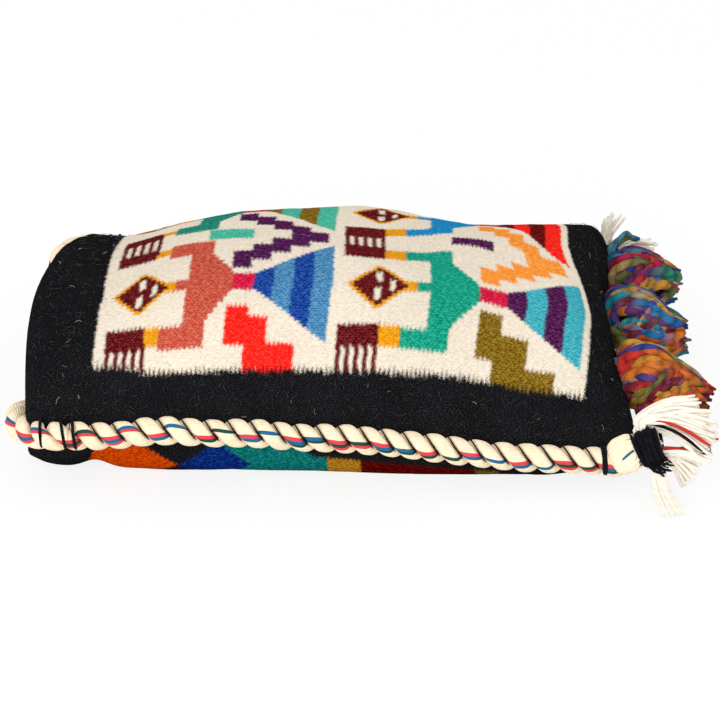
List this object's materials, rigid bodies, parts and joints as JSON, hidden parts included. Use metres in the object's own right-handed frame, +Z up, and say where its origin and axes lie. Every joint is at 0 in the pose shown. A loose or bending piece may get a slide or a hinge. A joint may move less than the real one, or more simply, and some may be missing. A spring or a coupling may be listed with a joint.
{
  "type": "shoulder bag",
  "caption": "Woven wool shoulder bag lying on its back, open at the mouth, with a twisted rope along its side seams that runs on as the strap, and tassels along the bottom edge.",
  "frame": {"origin": "on the ground, in the middle of the flat patch that the back panel rests on", "axes": "+X from the mouth towards the bottom edge with its tassels, +Y across the bag from the near seam to the far one, +Z up through the front panel"},
  "size_m": [0.3604, 0.2972, 0.0845],
  "materials": {
    "front_cloth": "weft-faced wool tapestry, black border round a cream field of woven figures",
    "back_cloth": "weft-faced wool tapestry, black with stepped shapes in orange, blue, teal, gold and dark red",
    "rope": "two-strand cotton rope, cream with red, blue and green yarns",
    "cotton_yarn": "loose cream cotton yarn ends",
    "black_yarn": "black wool yarn",
    "dyed_yarn": "soft wool yarn dyed in many colours along its length"
  },
  "bodies": {
    "root": {"front_panel": "front_cloth", "back_panel": "back_cloth", "near_side_rope": "rope", "far_side_rope": "rope", "shoulder_strap": "rope", "near_corner_tassel": "cotton_yarn", "far_corner_tassel": "cotton_yarn", "near_tassel_binding": "black_yarn", "far_tassel_binding": "black_yarn", "near_wool_tassel": "dyed_yarn", "middle_wool_tassel": "dyed_yarn", "far_wool_tassel": "dyed_yarn"}
  },
  "joints": []
}
